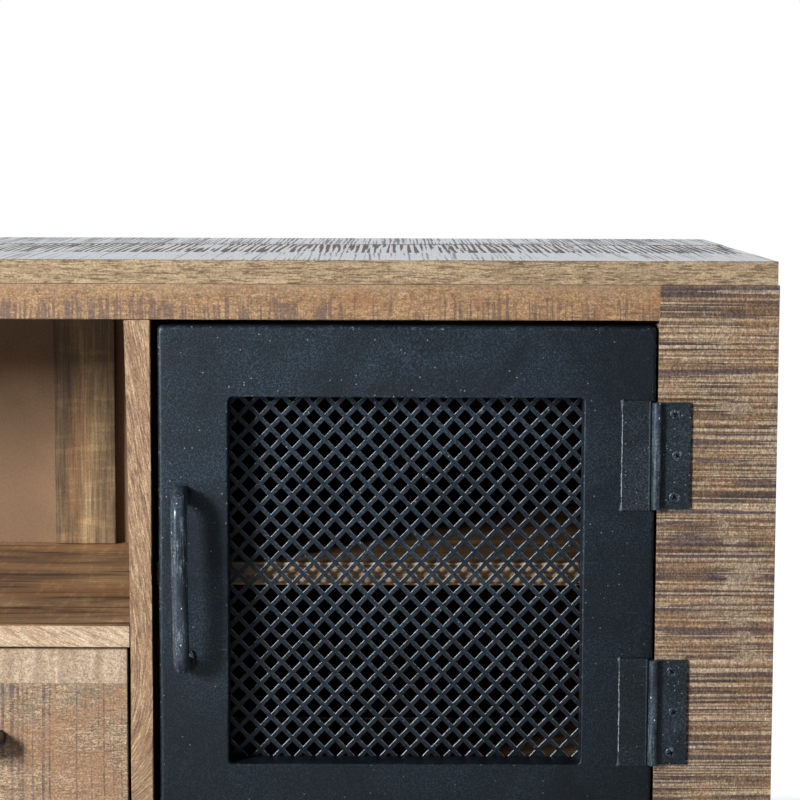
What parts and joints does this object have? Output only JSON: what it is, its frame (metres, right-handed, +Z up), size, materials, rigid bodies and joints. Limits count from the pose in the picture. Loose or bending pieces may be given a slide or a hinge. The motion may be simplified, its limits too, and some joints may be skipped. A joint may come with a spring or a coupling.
{
  "type": "tv stand with doors",
  "caption": "Low wooden media stand with an open niche above drawers, flanked by hinged steel doors with perforated sheet windows.",
  "frame": {"origin": "middle of the base of the bounding box, on the floor", "axes": "+X along the width to the right seen from the front, +Y to the back, so the doors face -Y, +Z up"},
  "size_m": [1.45, 0.432, 0.5],
  "materials": {
    "wood_top": "rough-sawn, waxed, whitish sheen",
    "wood_rail": "oiled, saw-marked",
    "wood_post": "rough-sawn across the grain, oiled",
    "wood_inside": "planed, oiled",
    "wood_drawer": "rough-sawn, oiled",
    "back_board": "smooth fibreboard, brown",
    "black_steel": "blackened blue-grey, satin",
    "screw_steel": "blackened, worn"
  },
  "bodies": {
    "carcass": {"back_batten_left": "wood_inside", "back_batten_right": "wood_inside", "back_panel": "back_board", "bottom_board": "wood_inside", "bottom_rail": "wood_rail", "cabinet_shelf_left": "wood_inside", "cabinet_shelf_right": "wood_inside", "divider_left": "wood_rail", "divider_right": "wood_rail", "drawer_partition": "wood_rail", "front_post_left": "wood_post", "front_post_right": "wood_post", "hinge_pin_left_lower": "screw_steel", "hinge_pin_left_upper": "screw_steel", "hinge_pin_right_lower": "screw_steel", "hinge_pin_right_upper": "screw_steel", "hinge_post_leaf_left_lower": "black_steel", "hinge_post_leaf_left_upper": "black_steel", "hinge_post_leaf_right_lower": "black_steel", "hinge_post_leaf_right_upper": "black_steel", "hinge_screw_left_lower_1": "screw_steel", "hinge_screw_left_lower_2": "screw_steel", "hinge_screw_left_lower_3": "screw_steel", "hinge_screw_left_upper_1": "screw_steel", "hinge_screw_left_upper_2": "screw_steel", "hinge_screw_left_upper_3": "screw_steel", "hinge_screw_right_lower_1": "screw_steel", "hinge_screw_right_lower_2": "screw_steel", "hinge_screw_right_lower_3": "screw_steel", "hinge_screw_right_upper_1": "screw_steel", "hinge_screw_right_upper_2": "screw_steel", "hinge_screw_right_upper_3": "screw_steel", "niche_shelf": "wood_inside", "side_panel_left": "wood_post", "side_panel_right": "wood_post", "top_board": "wood_top", "top_rail": "wood_rail"},
    "door_left": {"door_frame_left": "black_steel", "door_handle_left": "black_steel", "door_mesh_left": "black_steel", "hinge_door_leaf_left_lower": "black_steel", "hinge_door_leaf_left_upper": "black_steel"},
    "door_right": {"door_frame_right": "black_steel", "door_handle_right": "black_steel", "door_mesh_right": "black_steel", "hinge_door_leaf_right_lower": "black_steel", "hinge_door_leaf_right_upper": "black_steel"},
    "drawer_left": {"drawer_left_back": "wood_inside", "drawer_left_bottom": "back_board", "drawer_left_front": "wood_drawer", "drawer_left_handle": "black_steel", "drawer_left_inner_wall": "wood_inside", "drawer_left_outer_wall": "wood_inside"},
    "drawer_right": {"drawer_right_back": "wood_inside", "drawer_right_bottom": "back_board", "drawer_right_front": "wood_drawer", "drawer_right_handle": "black_steel", "drawer_right_inner_wall": "wood_inside", "drawer_right_outer_wall": "wood_inside"}
  },
  "joints": [
    {"name": "door_left_hinge", "type": "hinge", "parent": "carcass", "child": "door_left", "pos_m": [-0.6438, -0.18765, 0.283], "axis": [0, 0, -1], "range_deg": [0, 170]},
    {"name": "door_right_hinge", "type": "hinge", "parent": "carcass", "child": "door_right", "pos_m": [0.6438, -0.18765, 0.283], "axis": [0, 0, 1], "range_deg": [0, 170]},
    {"name": "drawer_left_slide", "type": "slide", "parent": "carcass", "child": "drawer_left", "axis": [0, -1, 0], "range_m": [0, 0.25]},
    {"name": "drawer_right_slide", "type": "slide", "parent": "carcass", "child": "drawer_right", "axis": [0, -1, 0], "range_m": [0, 0.25]}
  ]
}
